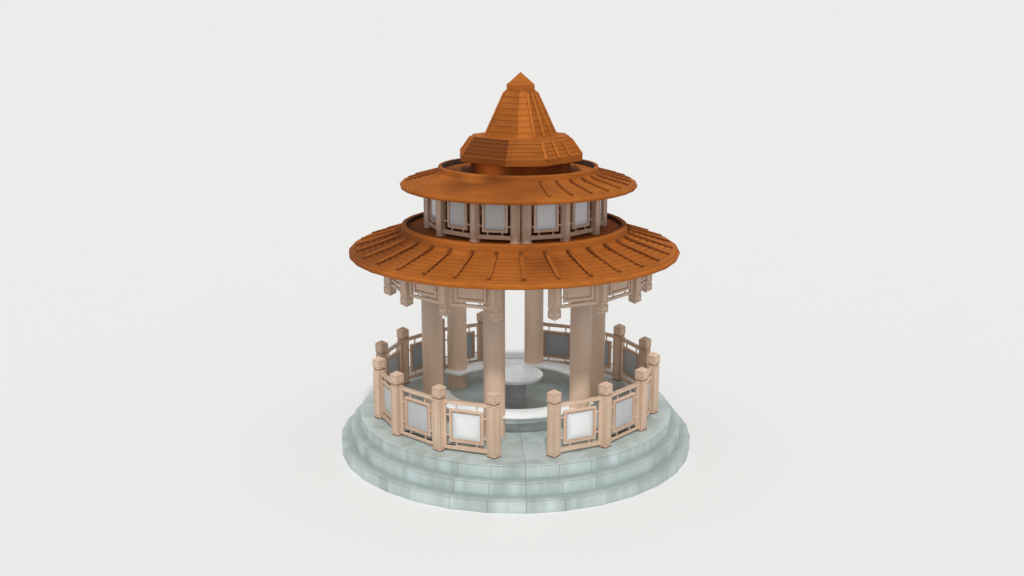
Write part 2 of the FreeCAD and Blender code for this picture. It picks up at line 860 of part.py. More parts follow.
os.makedirs("parts", exist_ok=True)
for item in NODES:
    shape = item.Shape
    if shape.isNull() or not shape.isValid():
        raise RuntimeError("shape not valid: " + item.Label)
    shape.exportStep("parts/%s.step" % item.Label)
    bounds = shape.BoundBox
    print("%-28s solids %3d  z %7.1f..%7.1f  volume %.4f m3" % (
        item.Label, len(shape.Solids), bounds.ZMin, bounds.ZMax, shape.Volume / 1e9))
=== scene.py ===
import bmesh
import bpy
import math
from mathutils import Euler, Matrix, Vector


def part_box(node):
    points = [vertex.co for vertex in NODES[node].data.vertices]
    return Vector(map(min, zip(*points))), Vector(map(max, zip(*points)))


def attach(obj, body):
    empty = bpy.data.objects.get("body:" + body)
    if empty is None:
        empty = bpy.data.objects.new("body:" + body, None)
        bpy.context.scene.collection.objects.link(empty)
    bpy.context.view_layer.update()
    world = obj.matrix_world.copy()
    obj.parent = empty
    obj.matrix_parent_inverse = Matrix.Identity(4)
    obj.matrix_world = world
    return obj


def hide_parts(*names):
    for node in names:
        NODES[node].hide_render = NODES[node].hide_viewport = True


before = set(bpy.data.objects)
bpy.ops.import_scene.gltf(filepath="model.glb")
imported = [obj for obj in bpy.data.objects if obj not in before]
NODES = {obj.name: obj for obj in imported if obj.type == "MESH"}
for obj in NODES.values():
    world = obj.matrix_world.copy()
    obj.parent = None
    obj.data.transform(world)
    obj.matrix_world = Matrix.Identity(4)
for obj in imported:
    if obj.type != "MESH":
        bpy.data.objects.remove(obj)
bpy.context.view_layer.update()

# Round two-tier garden pavilion. Metres, +Z up, the open front bay towards -Y.
# Ring positions are turned from the front towards +X.

FACETS = 32
FACET = 2.0 * math.pi / FACETS
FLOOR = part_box("plinth_top_tier")[1].z
TIERS = ("plinth_lower_tier", "plinth_middle_tier", "plinth_top_tier")
TIER_RISE = FLOOR / len(TIERS)
TREAD_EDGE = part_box(TIERS[0])[1].x
TREAD_RUN = (TREAD_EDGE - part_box(TIERS[-1])[1].x) / 2

# Lengths at which close points are joined, and angles that count as flat, sharp or smooth

WELD = 0.0001
FINE_WELD = 0.00001
FLAT = 1.0
SHARP = 25.0
SMOOTH_ROUND = 40.0
SMOOTH_PANE = 60.0
SMOOTH_EAVE = 50.0
SMOOTH_COURSES = 24.0
SMOOTH_COLLAR = 70.0

# Colours, as linear values

BASE_PALE = (0.520, 0.605, 0.592)
BASE_BLUE = (0.585, 0.675, 0.680)
BASE_GREEN = (0.350, 0.415, 0.385)
# Painted shade on the treads
BASE_TREAD_SHADE = (0.255, 0.300, 0.292)
BASE_JOINT = (0.190, 0.240, 0.275)
WARM = (0.620, 0.440, 0.315)
WARM_PALE = (0.680, 0.500, 0.370)
WARM_DARK = (0.480, 0.325, 0.225)
# Painted shade for warm stone high up
WARM_SHADE = (0.420, 0.340, 0.275)
# Painted shade in grooves
GROOVE_SHADE = (0.230, 0.110, 0.065)
# Painted shade for thin lines in creases and at the post feet
CREASE_SHADE = (0.300, 0.110, 0.055)
# Lit and shaded colours of the column stone, painted
COLUMN_LIT = (0.790, 0.575, 0.415)
COLUMN_SHADED = (0.455, 0.342, 0.267)
WHITE = (0.810, 0.850, 0.850)
WHITE_VEIN = (0.560, 0.590, 0.600)
TABLE_GREY = (0.800, 0.850, 0.870)
PANE_WHITE = (0.780, 0.785, 0.780)
PANE_BLUE = (0.420, 0.470, 0.510)
# Painted highlight on the lower panes
PANE_HIGHLIGHT = (0.740, 0.700, 0.640)
UPPER_WHITE = (0.640, 0.690, 0.730)
# Painted highlight on the upper panes
UPPER_HIGHLIGHT = (0.620, 0.650, 0.680)
PANE_GREY = (0.440, 0.445, 0.445)
# Painted shade for the rear panes
PANE_REAR_SHADE = (0.330, 0.372, 0.405)
GRANITE = (0.320, 0.328, 0.338)
GRANITE_PALE = (0.520, 0.530, 0.545)
GRANITE_FLECK = (0.030, 0.030, 0.030)
TILE = (0.345, 0.100, 0.016)
TILE_DARK = (0.135, 0.038, 0.008)
TILE_LIGHT = (0.460, 0.142, 0.024)
TILE_WARM = (0.400, 0.117, 0.018)
# Painted light on the tiles
TILE_PAINTED_LIGHT = (0.750, 0.250, 0.050)
# Painted shadow line on tiles
TILE_SHADOW_LINE = (0.090, 0.028, 0.010)
# Painted shade at the rib heads
RIB_HEAD_SHADE = (0.110, 0.034, 0.012)
# Painted shadow colour
SHADOW_DARK = (0.040, 0.014, 0.006)


# Node helpers: the colour sockets of a mix, and how far a face may turn from its aim

MIX_FIRST = 6
MIX_SECOND = 7
MIX_RESULT = 2
FACING_FULL = math.radians(8.0)
FACING_NONE = math.radians(14.0)


class Nodes:
    """Shorthand for a material's node tree."""

    def __init__(self, name, rough=0.6):
        self.material = bpy.data.materials.new(name)
        self.material.use_nodes = True
        self.tree = self.material.node_tree
        self.shader = self.tree.nodes["Principled BSDF"]
        self.shader.inputs["Roughness"].default_value = rough

    def add(self, kind, **values):
        item = self.tree.nodes.new(kind)
        for key, value in values.items():
            setattr(item, key, value)
        return item

    def put(self, socket, value):
        if isinstance(value, bpy.types.NodeSocket):
            self.tree.links.new(value, socket)
        elif isinstance(value, tuple) and socket.type == "RGBA":
            socket.default_value = (*value, 1.0)
        else:
            socket.default_value = value

    def place(self):
        return self.add("ShaderNodeNewGeometry").outputs["Position"]

    def normal(self):
        return self.add("ShaderNodeNewGeometry").outputs["True Normal"]

    def split(self, vector):
        item = self.add("ShaderNodeSeparateXYZ")
        self.put(item.inputs[0], vector)
        return item.outputs[0], item.outputs[1], item.outputs[2]

    def join(self, x, y, z):
        item = self.add("ShaderNodeCombineXYZ")
        for socket, value in zip(item.inputs, (x, y, z)):
            self.put(socket, value)
        return item.outputs[0]

    def math(self, operation, a, b=None, c=None):
        item = self.add("ShaderNodeMath", operation=operation)
        for socket, value in zip(item.inputs, (a, b, c)):
            if value is not None:
                self.put(socket, value)
        return item.outputs[0]

    def scaled(self, vector, factors):
        item = self.add("ShaderNodeVectorMath", operation="MULTIPLY")
        self.put(item.inputs[0], vector)
        self.put(item.inputs[1], factors)
        return item.outputs["Vector"]

    def noise(self, vector, scale, detail=3.0, rough=0.5):
        item = self.add("ShaderNodeTexNoise")
        self.put(item.inputs["Vector"], vector)
        item.inputs["Scale"].default_value = scale
        item.inputs["Detail"].default_value = detail
        item.inputs["Roughness"].default_value = rough
        return item.outputs["Fac"]

    def ramp(self, value, low, high, out_low=0.0, out_high=1.0):
        item = self.add("ShaderNodeMapRange", interpolation_type="SMOOTHSTEP")
        self.put(item.inputs["Value"], value)
        item.inputs["From Min"].default_value = low
        item.inputs["From Max"].default_value = high
        item.inputs["To Min"].default_value = out_low
        item.inputs["To Max"].default_value = out_high
        return item.outputs["Result"]

    def mix(self, factor, a, b):
        item = self.add("ShaderNodeMix", data_type="RGBA")
        self.put(item.inputs["Factor"], factor)
        self.put(item.inputs[MIX_FIRST], a)
        self.put(item.inputs[MIX_SECOND], b)
        return item.outputs[MIX_RESULT]

    def bump(self, height, distance, strength):
        item = self.add("ShaderNodeBump")
        self.put(item.inputs["Height"], height)
        item.inputs["Distance"].default_value = distance
        item.inputs["Strength"].default_value = strength
        self.put(self.shader.inputs["Normal"], item.outputs["Normal"])

    def colour(self, value):
        self.put(self.shader.inputs["Base Color"], value)

    def roughness(self, value):
        self.put(self.shader.inputs["Roughness"], value)

    def radius(self, centre_x):
        """Distance of the shaded point from an upright axis."""
        x, y = self.split(self.place())[:2]
        flat = self.join(self.math("SUBTRACT", x, centre_x), y, 0.0)
        length = self.add("ShaderNodeVectorMath", operation="LENGTH")
        self.put(length.inputs[0], flat)
        return length.outputs["Value"]

    def spot(self, centre, reach):
        """1 at a point, fading to 0 at the reach."""
        item = self.add("ShaderNodeVectorMath", operation="DISTANCE")
        self.put(item.inputs[0], self.place())
        self.put(item.inputs[1], centre)
        return self.ramp(item.outputs["Value"], 0.0, reach, 1.0, 0.0)

    def facing(self, turn):
        """1 on upright or leaning faces turned so many degrees from the front."""
        x, y = self.split(self.normal())[:2]
        aim = self.math("ARCTAN2", x, self.math("MULTIPLY", y, -1.0))
        off = self.math("ABSOLUTE", self.math("SUBTRACT", aim, math.radians(turn)))
        return self.ramp(off, FACING_FULL, FACING_NONE, 1.0, 0.0)


# Stone materials. The slack counts a tread with the risers below it.

LEVEL_SLACK = 0.004
BAND_SHIFT = 10.0
FLOOR_FADE_START = 0.06
FLOOR_FADE_END = 0.02
FOOT_LINE_FULL = 0.005
FOOT_LINE_END = 0.012
SHADE_START = 1.9
SHADE_FULL = 2.3
COLUMN_SHADE_RISE = 2.4


def base_marble():
    """Honed green-grey marble. Its bands stand upright on the risers. Painted shade darkens
    the treads inwards and the foot of each riser.
    """
    m = Nodes("base_marble", 0.45)
    place = m.place()
    x, y, z = m.split(place)
    steps_up = m.math("DIVIDE", m.math("SUBTRACT", z, LEVEL_SLACK), TIER_RISE)
    tier = m.math("FLOOR", steps_up)
    banded = m.join(x, y, m.math("MULTIPLY", tier, BAND_SHIFT))
    wide = m.noise(banded, 2.0, 2.0, 0.45)
    narrow = m.noise(banded, 3.8, 2.0, 0.45)
    cloud = m.noise(place, 9.0, 5.0, 0.6)
    tone = m.mix(m.ramp(wide, 0.34, 0.66, 0.12, 1.0), BASE_GREEN, BASE_PALE)
    tone = m.mix(m.ramp(narrow, 0.42, 0.70, 0.0, 0.75), tone, BASE_BLUE)
    tone = m.mix(m.ramp(cloud, 0.35, 0.75, 0.0, 0.22), tone, BASE_GREEN)
    # Painted shade: treads darker than the risers, more so towards the next riser, less on
    # the top floor
    flat = m.ramp(m.split(m.normal())[2], 0.5, 0.9)
    step_share = m.ramp(z, FLOOR - FLOOR_FADE_START, FLOOR - FLOOR_FADE_END, 1.0, 0.34)
    edge = m.math("SUBTRACT", TREAD_EDGE, m.math("MULTIPLY", tier, TREAD_RUN))
    inward = m.math("DIVIDE", m.math("SUBTRACT", edge, m.radius(0.0)), TREAD_RUN)
    tread_shade = m.math("MULTIPLY", step_share, m.ramp(inward, 0.1, 0.9, 0.35, 0.80))
    tone = m.mix(m.math("MULTIPLY", flat, tread_shade), tone, BASE_TREAD_SHADE)
    # Painted shade at the foot of each riser
    foot = m.math("FRACT", steps_up)
    tone = m.mix(m.ramp(foot, 0.0, 0.30, 0.35, 0.0), tone, BASE_GREEN)
    m.colour(tone)
    m.roughness(m.ramp(narrow, 0.3, 0.7, 0.38, 0.55))
    m.bump(m.noise(place, 70.0, 3.0), 0.001, 0.2)
    return m.material


def joint_fill(name, tone):
    """Matt filling with a fine grain."""
    m = Nodes(name, 0.9)
    grain = m.noise(m.place(), 40.0, 3.0)
    dark = tuple(0.6 * value for value in tone)
    m.colour(m.mix(m.ramp(grain, 0.3, 0.7), dark, tone))
    return m.material


def warm_stone():
    """Dressed peach stone with faint clouds and a fine grain, painted shade higher up and a
    painted shade line at its foot.
    """
    m = Nodes("warm_stone", 0.5)
    place = m.place()
    cloud = m.noise(place, 2.4, 4.0)
    streak = m.noise(m.scaled(place, (14.0, 14.0, 1.2)), 1.0, 3.0)
    grain = m.noise(place, 90.0, 3.0, 0.6)
    tone = m.mix(m.ramp(cloud, 0.36, 0.66), WARM, WARM_PALE)
    tone = m.mix(m.ramp(streak, 0.52, 0.78, 0.0, 0.30), tone, WARM_DARK)
    tone = m.mix(m.ramp(grain, 0.42, 0.78, 0.0, 0.18), tone, WARM_DARK)
    height = m.split(place)[2]
    # Painted shade: greyer higher up, under the eave
    tone = m.mix(m.ramp(height, SHADE_START, SHADE_FULL, 0.0, 0.30), tone, WARM_SHADE)
    # Painted contact shade: a thin dark line where the stone meets the floor
    foot_shade_line = m.ramp(height, FLOOR + FOOT_LINE_FULL, FLOOR + FOOT_LINE_END, 0.7, 0.0)
    tone = m.mix(foot_shade_line, tone, CREASE_SHADE)
    m.colour(tone)
    m.roughness(m.ramp(grain, 0.3, 0.7, 0.42, 0.60))
    m.bump(grain, 0.0015, 0.25)
    return m.material


def column_stone():
    """Dressed stone with painted shade that deepens towards the soffit."""
    m = Nodes("column_stone", 0.5)
    place = m.place()
    height = m.split(place)[2]
    cloud = m.noise(place, 1.8, 4.0)
    streak = m.noise(m.scaled(place, (9.0, 9.0, 0.7)), 1.0, 4.0, 0.55)
    grain = m.noise(place, 80.0, 3.0, 0.6)
    # Painted shade: the lit colour at the floor turns to the shaded one higher up
    tone = m.mix(m.ramp(height, FLOOR, FLOOR + COLUMN_SHADE_RISE), COLUMN_LIT, COLUMN_SHADED)
    tone = m.mix(m.ramp(cloud, 0.35, 0.70, 0.0, 0.22), tone, WARM_PALE)
    tone = m.mix(m.ramp(streak, 0.50, 0.78, 0.0, 0.32), tone, WARM_DARK)
    m.colour(tone)
    m.roughness(m.ramp(grain, 0.3, 0.7, 0.42, 0.58))
    m.bump(grain, 0.001, 0.2)
    return m.material


def white_marble(name, base, rough):
    """Polished marble with soft grey clouds and a few thin veins."""
    m = Nodes(name, rough)
    place = m.place()
    cloud = m.noise(place, 2.6, 4.0, 0.55)
    bent = m.noise(place, 3.2, 5.0, 0.6)
    vein_line = m.math("ABSOLUTE", m.math("SUBTRACT", bent, 0.5))
    tone = m.mix(m.ramp(cloud, 0.42, 0.72, 0.0, 0.55), base, WHITE_VEIN)
    tone = m.mix(m.ramp(vein_line, 0.0, 0.018, 0.35, 0.0), tone, WHITE_VEIN)
    m.colour(tone)
    m.roughness(m.ramp(cloud, 0.3, 0.7, rough - 0.06, rough + 0.10))
    m.bump(m.noise(place, 60.0, 2.0), 0.0006, 0.15)
    return m.material


def granite():
    """Grey granite with pale and black specks."""
    m = Nodes("dark_granite", 0.4)
    place = m.place()
    speck = m.noise(place, 55.0, 4.0, 0.75)
    fine = m.noise(place, 150.0, 2.0, 0.6)
    tone = m.mix(m.ramp(speck, 0.42, 0.62), GRANITE, GRANITE_PALE)
    tone = m.mix(m.ramp(fine, 0.55, 0.75, 0.0, 0.5), tone, GRANITE_FLECK)
    m.colour(tone)
    m.bump(fine, 0.001, 0.2)
    return m.material


def pane_stone(name, white, highlight, shade):
    """Polished pane with painted light: bright in the middle with a painted highlight towards
    one lower corner, painted shade in cool grey towards its edges, on its shaded side and
    towards the rear.
    """
    m = Nodes(name, 0.16)
    across = m.add("ShaderNodeUVMap").outputs["UV"]
    u, v = m.split(across)[:2]
    near_u = m.math("ABSOLUTE", m.math("SUBTRACT", u, 0.5))
    near_v = m.math("ABSOLUTE", m.math("SUBTRACT", v, 0.5))
    near = m.math("MAXIMUM", near_u, near_v)
    slant = m.math("ADD", m.math("MULTIPLY", u, 0.5), m.math("MULTIPLY", v, -0.5))
    place = m.place()
    x, y = m.split(place)[:2]
    cloud = m.noise(place, 4.5, 2.0, 0.4)
    tone = m.mix(m.ramp(cloud, 0.42, 0.72, 0.0, 0.16), white, PANE_BLUE)
    # Painted highlight, warmer towards one lower corner
    tone = m.mix(m.ramp(slant, 0.0, 0.45, 0.0, 0.75), tone, highlight)
    # Painted shade towards the edges
    tone = m.mix(m.ramp(near, 0.28, 0.50, 0.0, 0.45), tone, PANE_BLUE)
    # Painted shade on the shaded side
    tone = m.mix(m.ramp(shade(m, x), 0.0, 1.0), tone, PANE_GREY)
    # Painted shade towards the rear
    tone = m.mix(m.ramp(y, 0.2, 1.8, 0.0, 0.9), tone, PANE_REAR_SHADE)
    m.colour(tone)
    m.roughness(m.ramp(cloud, 0.3, 0.7, 0.14, 0.24))
    return m.material


def lower_shade(m, x):
    """Painted shade: greyer away from the front bay on both sides."""
    return m.ramp(m.math("ABSOLUTE", x), 0.8, 1.8, 0.0, 0.85)


def upper_shade(m, x):
    """Painted shade: greyer on the left half of the upper storey."""
    return m.ramp(x, -0.25, 0.25, 0.65, 0.0)


# Roof materials. A course shades from its lower edge up to the shadow of the next.

TILE_ROUGH = 0.78
TILE_SPECULAR = 0.10
RIB_SHADES = {"lower_roof_rib": 0.18, "upper_roof_rib": 0.40}
RIB_HEAD_FROM = 0.72
RIB_TIP_START = 0.014
RIB_TIP_FULL = 0.006

# Painted shade: darker patches, as (centre, reach, share)

PAINTED_SHADE_PATCHES = {
    "lower_roof": (((-2.24, -0.70, 3.68), 1.50, 1.0), ((-2.20, -0.10, 3.70), 1.00, 0.9),
                   ((0.30, -2.20, 3.62), 0.65, 0.80), ((0.9, 1.9, 3.7), 1.2, 0.7)),
    "upper_roof": (((-0.36, -1.15, 4.84), 0.60, 1.0), ((-0.90, -1.15, 4.72), 0.60, 0.95),
                   ((0.30, -1.45, 4.76), 0.60, 0.50), ((-1.00, 0.10, 4.93), 0.70, 1.0),
                   ((-0.16, -1.70, 4.62), 0.70, 0.60), ((-1.2, 0.9, 4.8), 0.9, 0.6)),
    "spire": (((-0.55, -0.85, 5.05), 0.80, 0.70), ((0.45, -0.95, 5.20), 0.50, 0.30),
              ((-0.35, -0.35, 5.80), 0.60, 0.35), ((0.08, -0.2, 6.2), 0.30, 0.35)),
    "none": (),
}

# Painted light: lighter patches, as (centre, reach, share)

PAINTED_LIGHT_PATCHES = {
    "neck": (((-0.55, -0.80, 5.00), 0.50, 1.0),),
    "upper_roof_plain": (((-0.62, -0.90, 4.95), 0.42, 1.0),),
    "lower_roof_tile": (((2.12, -0.40, 3.65), 1.60, 0.25),),
}

# Painted light and shade on faces of the spire, by the way they face: (degrees from the
# front, tone, share)

FACET_LIGHT_AND_SHADE = {
    "tier_courses": ((-43.5, TILE_DARK, 1.0), (1.5, TILE_DARK, 0.15)),
    "tier_eave": ((-43.5, TILE_DARK, 0.55), (1.5, TILE_DARK, 0.15)),
    "peak_courses": ((6.0, TILE_LIGHT, 0.85),),
}


def tile(name, shade_patches, courses=None, base=TILE):
    """courses is ("radius", centre x, start, run) or ("height", start, rise)."""
    m = Nodes(name, TILE_ROUGH)
    m.shader.inputs["Specular IOR Level"].default_value = TILE_SPECULAR
    place = m.place()
    cloud = m.noise(place, 1.3, 3.0)
    streak = m.noise(m.scaled(place, (3.0, 3.0, 12.0)), 1.5, 4.0, 0.55)
    grain = m.noise(place, 45.0, 4.0, 0.6)
    tone = m.mix(m.ramp(cloud, 0.36, 0.68, 0.0, 0.55), base, TILE_LIGHT)
    tone = m.mix(m.ramp(streak, 0.42, 0.78, 0.0, 0.40), tone, TILE_DARK)
    tone = m.mix(m.ramp(grain, 0.45, 0.80, 0.0, 0.25), tone, TILE_LIGHT)
    # Painted shade patches
    for centre, reach, share in PAINTED_SHADE_PATCHES[shade_patches]:
        spot = m.spot(centre, reach)
        patchy = m.math("MULTIPLY", spot, m.ramp(cloud, 0.25, 0.6, 0.75, 1.0))
        tone = m.mix(m.math("MULTIPLY", patchy, share), tone, TILE_DARK)
    # Painted pools of light
    for centre, reach, share in PAINTED_LIGHT_PATCHES.get(name, ()):
        tone = m.mix(m.math("MULTIPLY", m.spot(centre, reach), share), tone, TILE_PAINTED_LIGHT)
    # Painted light and painted shade on faces turned a given way
    for turn, shade, share in FACET_LIGHT_AND_SHADE.get(name, ()):
        tone = m.mix(m.math("MULTIPLY", m.facing(turn), share), tone, shade)
    if courses is not None:
        if courses[0] == "radius":
            reach = m.math("SUBTRACT", courses[2], m.radius(courses[1]))
            along = m.math("DIVIDE", reach, courses[3])
        else:
            height = m.split(place)[2]
            along = m.math("DIVIDE", m.math("SUBTRACT", height, courses[1]), courses[2])
        part = m.math("FRACT", along)
        # Painted light on each course: a painted highlight at its lower edge, painted shade
        # above it and a painted shadow line under the next nose
        tone = m.mix(m.ramp(part, 0.0, 0.30, 0.45, 0.0), tone, TILE_LIGHT)
        tone = m.mix(m.ramp(part, 0.55, 1.0, 0.0, 0.32), tone, TILE_DARK)
        tone = m.mix(m.ramp(part, 0.95, 1.0, 0.0, 0.45), tone, TILE_SHADOW_LINE)
    m.colour(tone)
    m.roughness(m.ramp(grain, 0.3, 0.7, TILE_ROUGH - 0.08, TILE_ROUGH + 0.12))
    m.bump(grain, 0.002, 0.25)
    return m.material


def rib_tile(name, centre_x, foot, head):
    """Rib colour: the roof's own at the foot, with painted shade in dark brown at the head
    and a painted shadow line at the foot's tip.
    """
    m = Nodes(name, TILE_ROUGH)
    m.shader.inputs["Specular IOR Level"].default_value = TILE_SPECULAR
    place = m.place()
    cloud = m.noise(place, 3.0, 3.0)
    grain = m.noise(place, 60.0, 4.0, 0.6)
    radius = m.radius(centre_x)
    tone = m.mix(m.ramp(cloud, 0.35, 0.7, 0.0, 0.5), TILE, TILE_LIGHT)
    tone = m.mix(RIB_SHADES[name], tone, TILE_DARK)
    middle = foot + (head - foot) * RIB_HEAD_FROM
    # Painted shade towards the head
    tone = m.mix(m.ramp(radius, head, middle, 0.95, 0.0), tone, RIB_HEAD_SHADE)
    # Painted shadow line at the foot
    tip = m.ramp(radius, foot - RIB_TIP_START, foot - RIB_TIP_FULL, 0.0, 0.8)
    tone = m.mix(tip, tone, TILE_SHADOW_LINE)
    m.colour(tone)
    m.bump(grain, 0.0015, 0.2)
    return m.material


# Mesh helpers

def turned(radius, angle, height, shift=0.0):
    """Point on a ring, turned from the front."""
    return Vector((radius * math.sin(angle) + shift, -radius * math.cos(angle), height))


def rings(mesh, profile, count, shift=0.0, mark=0, span=None, closed=True):
    """Surface of turning a profile of (radius, height) about an upright axis."""
    start, end = span or (0.0, 2.0 * math.pi)
    whole = span is None
    steps = count if whole else count + 1
    columns = []
    for k in range(steps):
        angle = start + (end - start) * k / count
        columns.append([mesh.verts.new(turned(r, angle, z, shift)) for r, z in profile])
    length = len(profile)
    pairs = length if closed else length - 1
    for k in range(count):
        one, two = columns[k], columns[(k + 1) % steps]
        for i in range(pairs):
            j = (i + 1) % length
            face = mesh.faces.new((one[i], two[i], two[j], one[j]))
            face.material_index = mark
    if not whole and closed:
        mesh.faces.new(columns[0])
        mesh.faces.new(list(reversed(columns[-1])))


def prism(mesh, corners, low, high):
    """Upright solid on a plan outline."""
    bottom = [mesh.verts.new((x, y, low)) for x, y in corners]
    top = [mesh.verts.new((x, y, high)) for x, y in corners]
    mesh.faces.new(list(reversed(bottom)))
    mesh.faces.new(top)
    count = len(corners)
    for i in range(count):
        j = (i + 1) % count
        mesh.faces.new((bottom[i], bottom[j], top[j], top[i]))


def ease(mesh, edges, width, segments=2):
    """Rounds edges without holding back for short ones."""
    bmesh.ops.bevel(mesh, geom=edges, offset=width, segments=segments, profile=0.5,
                    affect="EDGES", clamp_overlap=False)


def sharp_edges(mesh):
    """Edges between faces that meet at more than the sharp angle."""
    limit = math.radians(SHARP)
    return [edge for edge in mesh.edges
            if len(edge.link_faces) == 2 and edge.calc_face_angle(0.0) > limit]


def from_node(name):
    """A node's solids as a welded mesh with whole flat faces."""
    mesh = bmesh.new()
    mesh.from_mesh(NODES[name].data)
    bmesh.ops.remove_doubles(mesh, verts=mesh.verts, dist=WELD)
    bmesh.ops.dissolve_limit(mesh, angle_limit=math.radians(FLAT), verts=mesh.verts,
                             edges=mesh.edges)
    bmesh.ops.recalc_face_normals(mesh, faces=mesh.faces)
    mesh.faces.ensure_lookup_table()
    for face in mesh.faces:
        face.material_index = 0
        face.smooth = False
    return mesh


def solids(name):
    """Corner points of every separate solid in a node, in the order of the frame."""
    mesh = bmesh.new()
    mesh.from_mesh(NODES[name].data)
    bmesh.ops.remove_doubles(mesh, verts=mesh.verts, dist=WELD)
    mesh.verts.ensure_lookup_table()
    seen = [False] * len(mesh.verts)
    found = []
    for first in mesh.verts:
        if seen[first.index]:
            continue
        seen[first.index] = True
        stack = [first]
        points = []
        while stack:
            vert = stack.pop()
            points.append(vert.co.copy())
            for edge in vert.link_edges:
                other = edge.other_vert(vert)
                if not seen[other.index]:
                    seen[other.index] = True
                    stack.append(other)
        found.append(points)
    mesh.free()
    return found


def piece(name, mesh, materials, nodes=(), smooth=None):
    """Object from a mesh under construction. It stands for the given nodes."""
    data = bpy.data.meshes.new(name)
    bmesh.ops.recalc_face_normals(mesh, faces=mesh.faces)
    mesh.to_mesh(data)
    mesh.free()
    for material in materials:
        data.materials.append(material)
    if smooth is not None:
        data.polygons.foreach_set("use_smooth", [True] * len(data.polygons))
        data.set_sharp_from_angle(angle=math.radians(smooth))
    item = bpy.data.objects.new(name, data)
    bpy.context.collection.objects.link(item)
    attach(item, "root")
    if nodes:
        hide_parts(*nodes)
    return item


# Base: riser stones, thin tread slabs and the joints between them

RISER_JOINT = 0.007
TREAD_JOINT = 0.006
TREAD_SLAB = 0.018
BED_JOINT = 0.007
JOINT_DEPTH = 0.012
RISER_DEPTH = 0.10
STONE_EDGE = 0.0025
RISER_SET_BACK = 0.002
RISER_LIFT = 0.001
TREAD_LAP = 0.06
FLOOR_HUB = 0.15
SLABS = 16


def facet_corners(radius, k):
    """Ends of one straight facet."""
    return turned(radius, FACET * k, 0.0), turned(radius, FACET * (k + 1), 0.0)


def riser_stone(mesh, radius, k, low, high):
    """One stone of a riser, with half a joint at each end."""
    start, end = facet_corners(radius, k)
    along = (end - start).normalized()
    inward = Vector((-along.y, along.x, 0.0))
    if inward.dot(start) > 0.0:
        inward = -inward
    gap = along * (RISER_JOINT / 2)
    depth = inward * RISER_DEPTH
    corners = [start + gap, end - gap, end - gap + depth, start + gap + depth]
    prism(mesh, [(p.x, p.y) for p in corners], low, high)


def tread_slab(mesh, radius, inner, k, low, high):
    """One floor slab between two radial joints."""
    span = 2.0 * math.pi / SLABS
    start, end = span * k, span * (k + 1)
    outer_gap = TREAD_JOINT / 2 / radius
    inner_gap = TREAD_JOINT / 2 / inner
    per_slab = FACETS // SLABS
    corners = []
    for i in range(per_slab + 1):
        angle = start + FACET * i
        angle = min(max(angle, start + outer_gap), end - outer_gap)
        corners.append(turned(radius, angle, 0.0))
    for i in range(per_slab, -1, -1):
        angle = start + FACET * i
        angle = min(max(angle, start + inner_gap), end - inner_gap)
        corners.append(turned(inner, angle, 0.0))
    prism(mesh, [(p.x, p.y) for p in corners], low, high)


def base_tier(index, marble, joint):
    """Risers and treads of one tier, with the filling behind their joints."""
    name = TIERS[index]
    low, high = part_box(name)
    radius = high.x
    mesh = bmesh.new()
    slab_low = high.z - TREAD_SLAB
    for k in range(FACETS):
        riser_stone(mesh, radius - RISER_SET_BACK, k, low.z + RISER_LIFT,
                    slab_low - BED_JOINT)
    if index + 1 < len(TIERS):
        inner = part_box(TIERS[index + 1])[1].x - TREAD_LAP
    else:
        inner = FLOOR_HUB
    for k in range(SLABS):
        tread_slab(mesh, radius, inner, k, slab_low, high.z)
    ease(mesh, sharp_edges(mesh), STONE_EDGE, 1)
    core = radius - JOINT_DEPTH
    core_top = high.z - JOINT_DEPTH / 2
    rings(mesh, [(0.0, low.z), (core, low.z), (core, core_top), (0.0, core_top)], FACETS,
          mark=1, closed=False)
    bmesh.ops.remove_doubles(mesh, verts=mesh.verts, dist=FINE_WELD)
    piece("base_" + name, mesh, [marble, joint], [name])


marble = base_marble()
base_joint = joint_fill("base_joint", BASE_JOINT)
for index in range(len(TIERS)):
    base_tier(index, marble, base_joint)

# Columns, bench and table

TABLE_FACETS = 96
ROUND_FACETS = 48
COLUMNS = 6
BENCH_EDGE = 0.010
TABLE_EDGE = 0.014
TABLE_EDGE_STEPS = 4
TABLE_RIM = 0.02


def column(name, material):
    """Round shaft on its own axis."""
    low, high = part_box(name)
    centre = (low + high) / 2
    radius = (high.x - low.x) / 2
    mesh = bmesh.new()
    rings(mesh, [(radius, low.z), (radius, high.z)], ROUND_FACETS, closed=False)
    shaft = piece("round_" + name, mesh, [material], [name], SMOOTH_ROUND)
    for vert in shaft.data.vertices:
        vert.co.x += centre.x
        vert.co.y += centre.y


def rounded_section(inner, outer, low, high, edge, steps=3):
    """Closed outline of a slab's section with rounded corners."""
    points = []
    for centre_r, centre_z, first in ((outer - edge, low + edge, -90.0),
                                      (outer - edge, high - edge, 0.0),
                                      (inner + edge, high - edge, 90.0),
                                      (inner + edge, low + edge, 180.0)):
        for i in range(steps + 1):
            angle = math.radians(first + 90.0 * i / steps)
            points.append((centre_r + edge * math.cos(angle),
                           centre_z + edge * math.sin(angle)))
    return points


def bench():
    """Arcs with rounded edges."""
    mesh = bmesh.new()
    for points in solids("bench_slab"):
        outer = max(p.xy.length for p in points)
        inner = min(p.xy.length for p in points) / math.cos(FACET / 2)
        low = min(p.z for p in points)
        high = max(p.z for p in points)
        middle = sum((p.xy for p in points), Vector((0.0, 0.0)))
        aim = math.atan2(middle.x, -middle.y)
        spread = [math.remainder(math.atan2(p.x, -p.y) - aim, 2.0 * math.pi) for p in points]
        section = rounded_section(inner, outer, low, high, BENCH_EDGE)
        rings(mesh, section, ROUND_FACETS, span=(aim + min(spread), aim + max(spread)))
    white = white_marble("white_marble", WHITE, 0.22)
    piece("bench_arcs", mesh, [white], ["bench_slab"], SMOOTH_ROUND)


